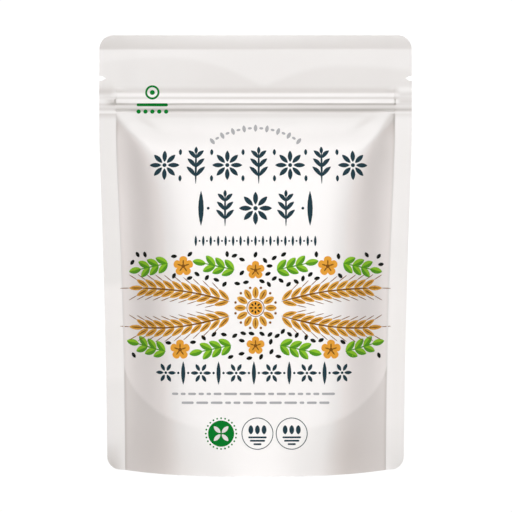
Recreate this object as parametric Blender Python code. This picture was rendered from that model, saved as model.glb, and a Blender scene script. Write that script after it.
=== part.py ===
"""A filled stand-up snack pouch, closed: two film panels sealed down both sides and across the top,
a press-to-close zip below the header, tear notches in the side seals, and a gusseted base."""

import math

import bmesh
import bpy
from mathutils import Vector

MM = 0.001

# Driving dimensions. The front panel faces -Y and the pouch stands on Z = 0.
HEIGHT = 278 * MM  # 280 mm of flat film, a little shorter once it is filled
TOP_WIDTH = 200 * MM
BASE_WIDTH = 190 * MM  # the open base draws the two sides in
TAPER_START = 216 * MM  # the sides run parallel above this height
TAPER_EASE = 0.04  # how gently the taper sets in
BODY_DEPTH = 56 * MM  # front to back, from the shoulder down to the base
BASE_DEPTH = 64 * MM  # front to back at the floor
FLARE_HEIGHT = 55 * MM  # below this height, the pouch widens out to its base
TOP_CORNER_RADIUS = 8 * MM
BASE_CORNER_RADIUS = 10 * MM

# Seals and header
SIDE_SEAL = 11.4 * MM
TOP_SEAL = 7.4 * MM
SEAL_THICKNESS = 1.0 * MM
HEADER_THICKNESS = 1.9 * MM
NOTCH_HEIGHT = 250.5 * MM
NOTCH_MOUTH = 3.2 * MM
NOTCH_STRAIGHT = 1.8 * MM
NOTCH_DEPTH = 4.2 * MM

# Zip: each ridge is (height of its middle, width, how far it stands out of the header)
ZIP_FOOT = 230 * MM
ZIP_TOP = 243.8 * MM
ZIP_RIDGES = (
    (240.3 * MM, 3.4 * MM, 1.0 * MM),
    (236.1 * MM, 3.8 * MM, 1.4 * MM),
    (232.3 * MM, 2.8 * MM, 0.4 * MM),
)

# Side to side, a filled panel rises from each seal, turns over and runs flat across the middle
TURN_PLACE = 0.18  # where it is steepest, as a share of the way in from the seal
TURN_WIDTH = 0.17

# Top to bottom, it bulges out below the zip
SHOULDER_HALFWAY = 24.5 * MM  # this far below the zip, it is half as full as it gets
SHOULDER_POWER = 2.5
HIP_SHARPNESS = 5  # how crisply the shoulder and the side meet in each top corner

# Base gusset: its seal is an arc on each panel, and below it the panel bends to the base's almond
ARC_TOP = 72 * MM
ARC_RISE = 46 * MM
ALMOND_POWER = 2.7
ALMOND_EASE = 0.7
SKIRT_WALL = 1.4 * MM
RECESS_SHARE = 0.6  # of the arc's height, which the recess under the base reaches
RECESS_END = 81.5 * MM
THINNEST_RECESS = 0.6 * MM  # half of its width at each end
BELLY_HEIGHT = 3 * MM  # the filled base film's lowest point

# Mesh steps
PANEL_COLUMNS = 36
COLUMN_SPREAD = 0.3  # how much closer the columns stand at the seals than in the middle
SKIRT_ROW = 4 * MM
BODY_ROWS = 30
ZIP_FOOT_ROWS = (1.5 * MM, 3.5 * MM, 6.0 * MM)  # close rows, where the shoulder sets in
RIDGE_ROWS = (-0.5, -0.3, 0, 0.3, 0.5)
SEAL_STEP = 0.6 * MM
RECESS_STATIONS = 24
RECESS_WALL_SHARES = (0.0, 0.3, 0.6, 0.85)  # of the groove's height, where the walls bend
BELLY_STEPS = 8
ARC_STEPS = 6
CUTTER_REACH = 20 * MM

FILM_COLOR = (0.90, 0.89, 0.88, 1.0)


def half_width(z):
    """Half of the pouch's width at height z."""
    drop = max(0.0, (TAPER_START - z) / TAPER_START)
    eased = math.hypot(drop, TAPER_EASE) - TAPER_EASE
    drawn_in = (TOP_WIDTH - BASE_WIDTH) / 2
    return TOP_WIDTH / 2 - drawn_in * math.sin(math.pi / 2 * eased)


def seal_line(z):
    """Half of the width between the side seals at height z."""
    return half_width(z) - SIDE_SEAL


def side_share(across):
    """The filled panel's rise: 0 at the seal, where across is 1, and 1 at the middle."""
    at_seal = math.erf(-TURN_PLACE / TURN_WIDTH)
    at_middle = math.erf((1 - TURN_PLACE) / TURN_WIDTH)
    turned = math.erf((1 - across - TURN_PLACE) / TURN_WIDTH)
    return (turned - at_seal) / (at_middle - at_seal)


def shoulder_share(z):
    """The panel's rise from 0 at the zip's foot to 1 where the base's flare begins and below it."""
    whole = 1 / (1 + (SHOULDER_HALFWAY / (ZIP_FOOT - FLARE_HEIGHT)) ** SHOULDER_POWER)
    raised = max(0.0, ZIP_FOOT - z) ** SHOULDER_POWER
    return min(1.0, raised / (raised + SHOULDER_HALFWAY**SHOULDER_POWER) / whole)


def soft_least(first, second):
    """The smaller of two shares, rounded where they are alike, and exact where one of them is 1."""
    product = first * second
    if product <= 0:
        return 0.0
    both = first**HIP_SHARPNESS + second**HIP_SHARPNESS - product**HIP_SHARPNESS
    return product / both ** (1 / HIP_SHARPNESS)


def arc_height(across):
    """Height of the gusset seal's arc, from its lowest point to the side seal, where across is 1."""
    return ARC_TOP - ARC_RISE * math.sqrt(max(0.0, 1 - across**2))


def body_depth(x, z):
    """How far the filled panel stands out of the middle plane."""
    across = min(1.0, abs(x) / seal_line(z))
    filled = soft_least(side_share(across), shoulder_share(z))
    almond = 1 - across**ALMOND_POWER
    below_arc = max(0.0, 1 - z / arc_height(across)) ** ALMOND_EASE
    share = filled + (almond - filled) * below_arc
    flare = max(0.0, 1 - z / FLARE_HEIGHT) ** 2
    fullest = BODY_DEPTH + (BASE_DEPTH - BODY_DEPTH) * flare
    return fullest / 2 * share


def header_depth(z):
    """Half thickness of the header, its zip ridges and the top seal, between the side seals."""
    if z >= HEIGHT - TOP_SEAL:
        return SEAL_THICKNESS / 2
    depth = HEADER_THICKNESS / 2
    for middle, width, stands_out in ZIP_RIDGES:
        off = abs(z - middle) / (width / 2)
        if off < 1:
            depth += stands_out * math.sqrt(1 - off**2)
    return depth


def panel_depth(x, z):
    """Half thickness of the whole pouch at x and z."""
    if abs(x) >= seal_line(z) - 1e-7:
        return SEAL_THICKNESS / 2
    if z >= ZIP_FOOT - 1e-7:
        return header_depth(z)
    thinnest = max(SEAL_THICKNESS / 2, HEADER_THICKNESS / 2 * (z / ZIP_FOOT))
    return max(thinnest, body_depth(x, z))


def column_shares():
    """Places across the panel from one seal line to the other, closest at the seals."""
    even = [2 * i / PANEL_COLUMNS - 1 for i in range(PANEL_COLUMNS + 1)]
    return [share * (1 + COLUMN_SPREAD * (1 - share**2)) for share in even]


def row_heights():
    """Heights of the mesh rows: even over the body, and on each edge of the zip and the seal."""
    body_top = ZIP_FOOT - ZIP_FOOT_ROWS[-1]
    step = (body_top - SKIRT_ROW) / BODY_ROWS
    rows = [0.0] + [SKIRT_ROW + step * i for i in range(BODY_ROWS)]
    rows += [ZIP_FOOT - below for below in ZIP_FOOT_ROWS]
    for middle, width, _ in ZIP_RIDGES:
        rows += [middle + width * share for share in RIDGE_ROWS]
    seal_foot = HEIGHT - TOP_SEAL
    rows += [ZIP_FOOT, ZIP_TOP, seal_foot - SEAL_STEP, seal_foot, HEIGHT]
    return sorted({round(row, 6) for row in rows})


def mesh_object(name, build):
    """A new object whose mesh the function build fills in."""
    shape = bmesh.new()
    build(shape)
    bmesh.ops.recalc_face_normals(shape, faces=shape.faces)
    mesh = bpy.data.meshes.new(name)
    shape.to_mesh(mesh)
    shape.free()
    made = bpy.data.objects.new(name, mesh)
    bpy.context.scene.collection.objects.link(made)
    return made


def build_filled_pouch(shape):
    """A front panel shaped from a grid, its mirror image behind it, and a rim that joins them."""
    shares = column_shares()
    rows = row_heights()
    grid = bmesh.ops.create_grid(
        shape, x_segments=len(shares) + 1, y_segments=len(rows) - 1, size=1.0
    )
    for vert in grid["verts"]:
        column = round((vert.co.x + 1) / 2 * (len(shares) + 1))
        z = rows[round((vert.co.y + 1) / 2 * (len(rows) - 1))]
        if column in (0, len(shares) + 1):
            x = math.copysign(half_width(z), vert.co.x)
        else:
            x = seal_line(z) * shares[column - 1]
        vert.co = Vector((x, -panel_depth(x, z), z))
    back = bmesh.ops.duplicate(shape, geom=shape.verts[:] + shape.edges[:] + shape.faces[:])
    for item in back["geom"]:
        if isinstance(item, bmesh.types.BMVert):
            item.co.y = -item.co.y
    rim = [edge for edge in shape.edges if edge.is_boundary]
    bmesh.ops.bridge_loops(shape, edges=rim)


def loft(shape, sections):
    """Joins closed sections of equally many points by quads, and caps both ends."""
    rings = [[shape.verts.new(point) for point in section] for section in sections]
    for first, second in zip(rings, rings[1:]):
        for i in range(len(first)):
            j = (i + 1) % len(first)
            shape.faces.new((first[i], first[j], second[j], second[i]))
    shape.faces.new(reversed(rings[0]))
    shape.faces.new(rings[-1])


def prism(shape, outline):
    """A prism right through the pouch, from an outline of (x, z) points."""
    for_front = [Vector((x, -CUTTER_REACH, z)) for x, z in outline]
    for_back = [Vector((x, CUTTER_REACH, z)) for x, z in outline]
    loft(shape, (for_front, for_back))


def recess_section(x):
    """Section of the hollow under the base at x: skirt walls, groove and the film's belly."""
    groove = RECESS_SHARE * arc_height(min(1.0, abs(x) / seal_line(0)))
    rise = (abs(x) / RECESS_END) ** 2
    belly = BELLY_HEIGHT + (0.92 * groove - BELLY_HEIGHT) * rise
    half = []
    for share in RECESS_WALL_SHARES:
        wall = max(THINNEST_RECESS, panel_depth(x, share * groove) - SKIRT_WALL)
        half.append((wall, share * groove))
    half.insert(0, (half[0][0], -CUTTER_REACH))
    for i in range(BELLY_STEPS + 1):
        share = 1 - i / BELLY_STEPS
        half.append((0.9 * wall * share, belly + (groove - belly) * share**2.2))
    other = [(-y, z) for y, z in reversed(half[:-1])]
    return [Vector((x, y, z)) for y, z in half + other]


def build_recess(shape):
    """The hollow that the raised gusset leaves between the front and back skirts."""
    turns = [math.pi * i / RECESS_STATIONS for i in range(RECESS_STATIONS + 1)]
    loft(shape, [recess_section(-RECESS_END * math.cos(turn)) for turn in turns])


def corner_outline(side, edge_x, edge_z, up, radius):
    """What rounding takes off a corner: out past both edges, then back along the arc."""
    centre_x = side * (edge_x - radius)
    centre_z = edge_z - up * radius
    past = radius
    arc = []
    for i in range(ARC_STEPS + 1):
        turn = math.pi / 2 * i / ARC_STEPS
        arc.append(
            (
                centre_x + side * radius * math.cos(turn),
                centre_z + up * radius * math.sin(turn),
            )
        )
    outside = [
        (centre_x, edge_z + up * past),
        (side * (edge_x + past), edge_z + up * past),
        (side * (edge_x + past), centre_z),
    ]
    return arc + outside


def notch_outline(side):
    """A tear notch: straight in from the seal's edge, then to a point."""
    edge = half_width(NOTCH_HEIGHT)
    half = NOTCH_MOUTH / 2
    points = [
        (edge + 2 * MM, half),
        (edge - NOTCH_STRAIGHT, half),
        (edge - NOTCH_DEPTH, 0.0),
        (edge - NOTCH_STRAIGHT, -half),
        (edge + 2 * MM, -half),
    ]
    return [(side * x, NOTCH_HEIGHT + rise) for x, rise in points]


def film_material():
    material = bpy.data.materials.new("satin_white_film")
    material.use_nodes = True
    surface = material.node_tree.nodes["Principled BSDF"]
    surface.inputs["Base Color"].default_value = FILM_COLOR
    surface.inputs["Roughness"].default_value = 0.36
    surface.inputs["Metallic"].default_value = 0.0
    return material


def make_cutters():
    """Helpers that the Boolean takes away from the pouch, in a collection of their own."""
    cutters = bpy.data.collections.new("cutters")
    bpy.context.scene.collection.children.link(cutters)
    made = [mesh_object("gusset_recess_cutter", build_recess)]
    for side, word in ((-1, "left"), (1, "right")):
        outlines = {
            "top_corner": corner_outline(
                side, half_width(HEIGHT), HEIGHT, 1, TOP_CORNER_RADIUS
            ),
            "base_corner": corner_outline(side, half_width(0), 0.0, -1, BASE_CORNER_RADIUS),
            "tear_notch": notch_outline(side),
        }
        for name, outline in outlines.items():
            cutter = mesh_object(
                f"{word}_{name}_cutter", lambda shape, line=outline: prism(shape, line)
            )
            made.append(cutter)
    for cutter in made:
        bpy.context.scene.collection.objects.unlink(cutter)
        cutters.objects.link(cutter)
        cutter.hide_render = True
        cutter.display_type = "WIRE"
    cutters.hide_render = True
    return cutters


def main():
    for old in list(bpy.data.objects):
        bpy.data.objects.remove(old, do_unlink=True)
    pouch = mesh_object("pouch", build_filled_pouch)
    pouch.data.materials.append(film_material())
    cut = pouch.modifiers.new("cut recess, corners and notches", "BOOLEAN")
    cut.operation = "DIFFERENCE"
    cut.operand_type = "COLLECTION"
    cut.collection = make_cutters()
    cut.solver = "EXACT"
    pouch.data.shade_smooth()
    pouch.data.set_sharp_from_angle(angle=math.radians(35))


main()
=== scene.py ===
import math
import random

import bmesh
import bpy
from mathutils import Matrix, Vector, noise


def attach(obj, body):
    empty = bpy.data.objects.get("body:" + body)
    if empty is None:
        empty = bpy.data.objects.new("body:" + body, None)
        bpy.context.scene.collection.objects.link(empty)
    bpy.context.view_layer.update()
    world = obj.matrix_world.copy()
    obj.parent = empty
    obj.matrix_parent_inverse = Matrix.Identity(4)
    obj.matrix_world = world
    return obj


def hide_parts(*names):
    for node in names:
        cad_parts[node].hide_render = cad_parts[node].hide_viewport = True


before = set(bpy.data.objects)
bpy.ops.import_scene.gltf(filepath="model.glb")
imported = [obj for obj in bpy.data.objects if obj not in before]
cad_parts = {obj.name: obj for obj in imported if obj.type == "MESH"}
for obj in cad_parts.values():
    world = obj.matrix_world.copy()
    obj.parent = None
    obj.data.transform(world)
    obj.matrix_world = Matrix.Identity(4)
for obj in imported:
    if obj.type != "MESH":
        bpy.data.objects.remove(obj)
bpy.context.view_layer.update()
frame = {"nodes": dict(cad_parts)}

mm = 0.001  # shapes are worked out in numbers of mm, and their vertices are in metres
print("frame loaded:", ", ".join(frame["nodes"]))


# Small helpers

def deselectAll():
    if bpy.context.object and bpy.context.object.mode != "OBJECT":
        bpy.ops.object.mode_set(mode="OBJECT")
    bpy.ops.object.select_all(action="DESELECT")


def startPiece(name):
    # The primitive that was just added becomes the piece
    piece = bpy.context.object
    piece.name = name
    piece.data.name = name
    return piece


def startGrid(name, columns, rows):
    # A flat sheet from -1 to 1 both ways
    deselectAll()
    bpy.ops.mesh.primitive_grid_add(x_subdivisions=columns, y_subdivisions=rows, size=2.0)
    return startPiece(name)


def thicken(piece, thickness):
    # Gives a sheet its thickness behind its face, and smooths it
    deselectAll()
    piece.select_set(True)
    bpy.context.view_layer.objects.active = piece
    modifier = piece.modifiers.new("Solidify", "SOLIDIFY")
    modifier.thickness = thickness * mm
    modifier.offset = -1.0
    bpy.ops.object.modifier_apply(modifier=modifier.name)
    bpy.ops.object.shade_smooth_by_angle(angle=math.radians(50))


def flipFaces():
    bpy.ops.object.mode_set(mode="EDIT")
    bpy.ops.mesh.select_all(action="SELECT")
    bpy.ops.mesh.flip_normals()
    bpy.ops.object.mode_set(mode="OBJECT")


def stopsAlong(start, spans):
    # Places from start on, each span (its end, about how far apart) divided evenly
    stops = [start]
    for end, step in spans:
        begin = stops[-1]
        count = max(1, round((end - begin) / step))
        stops += [begin + (end - begin) * i / count for i in range(1, count + 1)]
    return stops


def eased(value, low, high):
    share = min(1.0, max(0.0, (value - low) / (high - low)))
    return share * share * (3 - 2 * share)


def between(value, rise, fall):
    # 1 from the end of the rise to the start of the fall, 0 outside both
    return eased(value, *rise) * (1 - eased(value, *fall))


def swell(off, width):
    return math.exp(-((off / width) ** 2))


def softNoise(x, z, seed):
    # Smooth waves between about -1 and 1
    return noise.noise(Vector((x, z, seed)))


# The pouch's outline and fullness, as its solid has them; only the corners are rounded as seen

pouchShape = {
    "height": 278,
    "topWidth": 200,
    "baseWidth": 190,
    "taperStart": 216,
    "taperEase": 0.04,
    "bodyDepth": 56,
    "baseDepth": 64,
    "flareHeight": 55,
    "topCorner": 9.2,
    "baseCorner": 8.3,
    "sideSeal": 11.4,
    "sealNarrowing": 0.8,  # a little narrower near the zip
    "topSeal": 8.4,
    "zipMiddle": 238,
    "zipFoot": 230,
    "turnPlace": 0.18,
    "turnWidth": 0.17,
    "shoulderHalfway": 24.5,  # this far below the zip, the pouch is half as full as it gets
    "shoulderPower": 2.5,
    "hipSharpness": 5,
    "arcTop": 72,
    "arcRise": 46,
    "almondPower": 2.7,
    "almondEase": 0.7,
}


def halfWidth(z):
    start, ease = pouchShape["taperStart"], pouchShape["taperEase"]
    drop = max(0.0, (start - z) / start)
    drawnIn = (pouchShape["topWidth"] - pouchShape["baseWidth"]) / 2
    bend = math.sin(math.pi / 2 * (math.hypot(drop, ease) - ease))
    return pouchShape["topWidth"] / 2 - drawnIn * bend


def sealLine(z):
    narrowing = pouchShape["sealNarrowing"] * eased(z, 110, 220)
    return halfWidth(z) - pouchShape["sideSeal"] + narrowing


def sideShare(across):
    place, width = pouchShape["turnPlace"], pouchShape["turnWidth"]
    atSeal = math.erf(-place / width)
    atMiddle = math.erf((1 - place) / width)
    return (math.erf((1 - across - place) / width) - atSeal) / (atMiddle - atSeal)


def shoulderShare(z):
    halfway, power = pouchShape["shoulderHalfway"], pouchShape["shoulderPower"]
    down = max(0.0, pouchShape["zipFoot"] - z)
    reach = pouchShape["zipFoot"] - pouchShape["flareHeight"]
    whole = 1 / (1 + (halfway / reach) ** power)
    return min(1.0, down**power / (down**power + halfway**power) / whole)


def softLeast(first, second, sharpness):
    product = first * second
    if product <= 0:
        return 0.0
    both = first**sharpness + second**sharpness - product**sharpness
    return product / both ** (1 / sharpness)


def arcHeight(across):
    return pouchShape["arcTop"] - pouchShape["arcRise"] * math.sqrt(max(0.0, 1 - across**2))


def bodyDepth(x, z):
    across = min(1.0, abs(x) / sealLine(z))
    filled = softLeast(sideShare(across), shoulderShare(z), pouchShape["hipSharpness"])
    almond = 1 - across ** pouchShape["almondPower"]
    belowArc = max(0.0, 1 - z / arcHeight(across)) ** pouchShape["almondEase"]
    share = filled + (almond - filled) * belowArc
    flare = max(0.0, 1 - z / pouchShape["flareHeight"]) ** 2
    fullest = pouchShape["bodyDepth"] + (pouchShape["baseDepth"] - pouchShape["bodyDepth"]) * flare
    return fullest / 2 * share


# The film: its seals, header, zip and small folds

filmFolds = {
    "sealHalf": 0.27,
    "seamStep": 0.45,  # the filled side starts with a small step at the seam
    "seamStepWidth": 0.8,
    "headerHalf": 0.75,
    "headerSettle": 14,  # how far in from the side seal the header reaches its thickness
    "topSealGroove": 0.08,
    "topSealTilt": 0.002,
    "zipEndFade": 9,
    "zipRidgeEnd": 238.4,  # above this height the zip's relief runs on over the side seals
    "crimpSize": 0.22,  # of the side seals beside the zip
    "crimpPitch": 1.1,
    "headerLean": 0.8,
    "leanStart": 244,
    "headerSwell": 0.15,
    "topBend": 1.8,  # the top seal bends forward
    "cornerCurl": 2.2,
    "sealBend": 0.5,  # the side seals bend back this far at their edges
    "unevenness": 0.08,
    "unevenSize": 34,
    "uprightFold": 0.10,
    "fanFold": 0.16,
    "fanTop": 25,
}
# The zip under the film from top to bottom: (height, how far it stands out, tone). The tone is 1
# where something white lies behind the film, a half on empty film, 0 in a crease; the ridges'
# upper faces carry painted highlight and the grooves and the recess below them painted shade.
zipProfile = (
    (248.6, 0.0, 0.5), (246.2, -0.05, 0.48), (244.6, -0.2, 0.36), (243.5, -0.45, 0.14),
    (242.8, -0.5, 0.06), (241.8, -0.3, 0.02), (241.2, 0.0, 0.2), (240.5, 0.35, 0.75),
    (239.8, 0.6, 1.15), (239.3, 0.8, 1.1), (238.9, 0.95, 0.7), (238.4, 1.0, 0.4),
    (237.9, 0.85, 0.12), (237.4, 0.8, 0.2), (236.8, 0.9, 0.6), (236.2, 1.2, 1.0),
    (234.8, 1.6, 1.1), (234.4, 1.55, 0.5), (233.8, 0.5, -0.3), (233.4, 0.2, -0.12),
    (232.8, 0.15, 0.28), (232.0, 0.1, 0.26), (231.2, -0.1, -0.05), (230.5, -0.45, -0.5),
    (229.8, -0.6, -0.5), (229.2, -0.4, -0.1), (228.5, -0.1, 0.25), (227.8, 0.0, 0.45),
)
notchShape = {"height": 250.5, "mouth": 3.2, "straight": 1.8, "depth": 4.2}
# The header's arches: (x of the middle, reach inwards, reach outwards, height)
headerArches = (
    (-57.8, 61, 43, 265.6),
    (55.9, 48, 44, 259.8),
)
# Painted shade and highlight bands on the side seals beside the zip, where the zip's lines run
# on: (side, height, half of its width, change of tone). Here and below, a tone that grows makes the
# film whiter and one that shrinks makes it darker.
sealShadesAndHighlights = (
    (-1, 242.2, 3.2, -0.48),
    (-1, 233.6, 1.0, -0.12),
    (-1, 230.8, 1.5, -0.34),
    (1, 243.2, 1.6, 0.3),
    (1, 240.0, 0.9, -0.25),
    (1, 235.7, 1.5, -0.42),
    (1, 233.5, 0.8, 0.16),
    (1, 230.2, 1.4, -0.6),
)
# Paler stretches of the side seals: (side, foot, top, softness, change of tone)
sealStretches = (
    (-1, 20, 118, 4, 0.16),
    (-1, 57, 118, 4, 0.28),
    (1, 29, 300, 6, 0.14),
    (1, 0, 118, 25, 0.25),
)
# Painted shade on the filled front's and back's left half, and on the right one, and on their side
# seals
leftShades = {
    "shoulder": -0.42,
    "shoulderDrop": 2.0,  # of its upper edge below the zip
    "shoulderSlope": 1.0,
    "base": -0.24,
    "basePlace": 60,
    "seamTop": (5, 10),  # how far below the zip the seam's shadow starts
    "sealTop": -0.45,
    "sealFoot": -0.7,
}
rightShades = {
    "shoulder": -0.60,
    "shoulderDrop": -2.0,
    "shoulderSlope": 1.35,
    "base": -0.42,
    "basePlace": 55,
    "seamTop": (0, 2),
    "sealTop": -0.35,
    "sealFoot": -0.3,
}
# Painted shade on both halves: below the zip, below the base's arc, along the seam, in the
# shoulders, beside them and at the base
bodyShades = {
    "belowZip": -0.25,
    "baseArc": -0.3,
    "baseArcEnds": -0.35,
    "seam": -0.3,
    "shoulderEnd": (8, 24),  # how far in from the seam
    "shoulderFoot": (165, 205),
    "patch": -0.32,  # beside the shoulder's shade
    "patchInward": 22,
    "patchDown": 9.5,
    "baseWidth": 16,
    "baseTop": (10, 45),
}
# The empty header's own tone, lighter towards its left and a little towards its right, with painted
# shade in its arches, at the zip's and the ridges' ends, in the left end's shadow and crease and on
# the top seal, and painted highlights below the ridges and at the zip's foot
headerShades = {
    "foot": 227.8,
    "whole": 0.41,
    "left": 0.17,
    "right": 0.05,
    "arch": -0.17,
    "zipEnds": -0.1,
    "belowRidges": 0.2,
    "footEnds": 0.35,
    "ridgeEnd": -1.6,
    "ridgeEndSpan": ((233.3, 233.9), (236.6, 237.6)),
    "leftShadow": -0.85,
    "leftShadowSpan": ((231.8, 234.6), (236.4, 237.4)),
    "leftCrease": -0.5,
    "leftCreaseHeight": 234.9,
    "topSeal": 0.13,
    "topSealRise": 0.16,
    "topSealMiddle": 0.2,
    "topSealLeft": -0.12,
}
# Painted highlights on the panels: (x, half of its width, height, half of its own height)
paintedHighlights = (
    (-2, 38, 60, 20),
    (-2, 44, 212, 5.5),
    (-82.5, 6, 170, 42),
)


def edgeCut(z):
    # How far the tear notch and the rounded corners take the edge in
    cut = 0.0
    off = abs(z - notchShape["height"])
    half = notchShape["mouth"] / 2
    if off <= half:
        cut = notchShape["depth"] - (notchShape["depth"] - notchShape["straight"]) * off / half
    for radius, past in (
        (pouchShape["topCorner"], z - (pouchShape["height"] - pouchShape["topCorner"])),
        (pouchShape["baseCorner"], pouchShape["baseCorner"] - z),
    ):
        if past > 0:
            cut = radius - math.sqrt(max(0.0, radius**2 - past**2))
    return cut


def zipAt(z):
    # (relief, tone with painted shade and highlight): a groove, two ridges that slope out
    # downwards, and a recess below them
    for (above, *upper), (below, *lower) in zip(zipProfile, zipProfile[1:]):
        if below <= z <= above:
            share = (z - below) / (above - below)
            return tuple(low + (high - low) * share for low, high in zip(lower, upper))
    return 0.0, 0.5


def sealGroove(x):
    return pouchShape["height"] - pouchShape["topSeal"] + filmFolds["topSealTilt"] * x


def middlePlane(x, z):
    # How far both films together lean back
    lean = filmFolds["headerLean"] * max(0.0, (z - filmFolds["leanStart"]) / 26) ** 1.5
    over = z - sealGroove(x)
    overGroove = 0.5 * (over + math.hypot(over, 0.9)) / pouchShape["topSeal"]
    bend = -filmFolds["topBend"] * (1 - (1 - min(1.0, overGroove)) ** 1.6)
    onSeal = max(0.0, abs(x) - sealLine(z)) / pouchShape["sideSeal"]
    curl = filmFolds["cornerCurl"] * onSeal**1.5 * max(0.0, 1 - z / 32) ** 1.6
    curl += filmFolds["sealBend"] * onSeal * (1 - eased(z, 200, 226))
    crimp = filmFolds["crimpSize"] * math.sin((z - pouchShape["zipFoot"]) / filmFolds["crimpPitch"])
    crimp *= swell(z - pouchShape["zipMiddle"], 6.5) * eased(onSeal, 0, 0.25)
    return lean + bend + curl + crimp


def headerArch(x, z):
    # 1 within two shallow arches beside the middle, where the empty header's films stand apart
    inside = 0.0
    for middle, inwards, outwards, top in headerArches:
        inner = (x - middle) * middle < 0
        drop, reach = (top - 247.3, inwards) if inner else (3, outwards)
        line = top - drop * ((x - middle) / reach) ** 2
        inside = max(inside, 1 - eased(z, line - 4, line + 1))
    return inside * eased(z, 243, 248)


def lowFolds(x, z, seed):
    # Faint upright folds beside the base's middle, and rays that fan out below it
    across = abs(x) / sealLine(z)
    upright = softNoise(x / 4.5, z / 70, 5.3 + seed)
    upright *= filmFolds["uprightFold"] * eased(across, 0.45, 0.62)
    upright *= 1 - eased(z, 50, 105)
    down = filmFolds["fanTop"] - z
    angle = math.atan2(x, max(down, 0.01))
    rays = softNoise(2.6 * angle, 1.7, 9.1 + seed)
    rays *= filmFolds["fanFold"] * eased(down, 0, 12) * (1 - eased(across, 0.4, 0.6))
    return (upright + rays) * eased(sealLine(z) - abs(x), 0, 2)


def filmDepth(x, z, seed=0.0):
    # How far a panel's outer face stands out of the middle plane
    sealHalf = filmFolds["sealHalf"]
    inward = sealLine(z) - abs(x)
    if inward <= 0:
        fade = max(0.0, 1 + inward / filmFolds["zipEndFade"]) ** 1.5
        share = 0.55 if z > filmFolds["zipRidgeEnd"] else 0.25
        return sealHalf + max(-0.15, fade * share * zipAt(z)[0])
    size = filmFolds["unevenSize"]
    uneven = filmFolds["unevenness"] * softNoise(x / size, z / size, 3.1 + seed)
    uneven *= eased(inward, 0, 12)
    header = (filmFolds["headerHalf"] - sealHalf) * eased(inward, 0, filmFolds["headerSettle"])
    header += sealHalf
    relief = zipAt(z)[0] * (0.4 + 0.6 * eased(inward, 0, 0.6))
    if z >= pouchShape["zipFoot"]:
        groove = sealGroove(x)
        inSeal = eased(z, groove - 1.6, groove)
        depth = header + (sealHalf - header) * inSeal
        pressed = swell(z - groove - 0.5, 0.7) * eased(inward, 0, 8)
        depth -= filmFolds["topSealGroove"] * pressed
        depth += filmFolds["headerSwell"] * headerArch(x, z) * eased(inward, 0, 40)
        return depth + relief + uneven * (1 - inSeal)
    atFoot = header + relief
    step = filmFolds["seamStep"] * eased(inward, 0, filmFolds["seamStepWidth"])
    settle = eased(pouchShape["zipFoot"] - z, 0, 6)
    depth = atFoot + (sealHalf + step - atFoot) * settle + bodyDepth(x, z)
    return depth + uneven * settle + lowFolds(x, z, seed)


# The empty header's tone, with painted shade and painted highlights on it, the zip's ends and the
# top seal
def headerToneAndShade(x, z, inward):
    shades = headerShades
    tone = shades["whole"] + shades["left"] * eased(-x, 0, 90)
    tone += shades["right"] * eased(x, 20, 90) + shades["arch"] * headerArch(x, z)
    outer = eased(-inward, -0.6, (1.6 + 2.4 * eased(z, 233.6, 235)))
    tone += shades["zipEnds"] * outer * swell(z - pouchShape["zipMiddle"], 8)
    tone += (zipAt(z)[1] - 0.5) * (1 - 0.75 * outer)
    lowest = 1 - eased(z, 233.4, 234.4)
    tone += shades["belowRidges"] * swell(x + 3, 34) * lowest
    tone += shades["footEnds"] * eased(abs(x), 74, 86) * swell(z - 229, 1.3)
    pastEnd = inward - (-0.3 if x < 0 else 0.15)
    tone += shades["ridgeEnd"] * between(z, *shades["ridgeEndSpan"]) * swell(pastEnd, 0.45)
    if x < 0:
        onEnd = between(-inward, (0, 0.8), (0, 9))
        tone += shades["leftShadow"] * between(z, *shades["leftShadowSpan"]) * onEnd
        crease = swell(z - shades["leftCreaseHeight"], 0.9) * (1 - eased(-inward, 0, 5))
        tone += shades["leftCrease"] * crease * (1 - eased(x, -87, -77))
    for side, height, width, change in sealShadesAndHighlights:
        tone += change * swell(z - height, width) * outer * (side * x > 0)
    groove = sealGroove(x)
    up = max(0.0, (z - groove) / pouchShape["topSeal"])
    band = shades["topSeal"] + shades["topSealLeft"] * eased(-x, 60, 100)
    band += up * (shades["topSealRise"] + shades["topSealMiddle"] * swell(x + 8, 45))
    return tone + (band - tone) * eased(z, groove - 1.4, groove + 0.4)


# The filled film's tone, darkened by painted shade and whitened by painted highlights
def bodyToneAndShade(x, z, inward, half):
    shades = bodyShades
    down = pouchShape["zipFoot"] - z
    across = min(1.0, abs(x) / sealLine(z))
    tone = 0.5 + 0.5 * eased(down, 4, 22)
    inMiddle = 1 - eased(abs(x), 60, 80)
    tone += shades["belowZip"] * (1 - eased(down, 3.5, 6)) * inMiddle
    belowArc = eased(arcHeight(across) - z, -0.6, 2.2) * eased(across, 0.1, 0.7)
    tone += (shades["baseArc"] + shades["baseArcEnds"] * eased(across, 0.35, 0.75)) * belowArc
    tone += shades["seam"] * swell(inward - 0.7, 0.9) * eased(down, *half["seamTop"])
    belowEdge = down - half["shoulderDrop"] - half["shoulderSlope"] * inward
    inCorner = eased(belowEdge, -2.5, 3) * eased(z, *shades["shoulderFoot"])
    tone += half["shoulder"] * inCorner * (1 - eased(inward, *shades["shoulderEnd"]))
    aside = inward - shades["patchInward"]
    patch = swell(aside, 9) * swell(down - shades["patchDown"] - 0.6 * aside, 3)
    tone += shades["patch"] * patch
    for middle, wide, height, tall in paintedHighlights:
        tone += 0.5 * swell(x - middle, wide) * swell(z - height, tall)
    atBase = swell(abs(x) - half["basePlace"], shades["baseWidth"])
    return tone + half["base"] * atBase * (1 - eased(z, *shades["baseTop"]))


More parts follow.
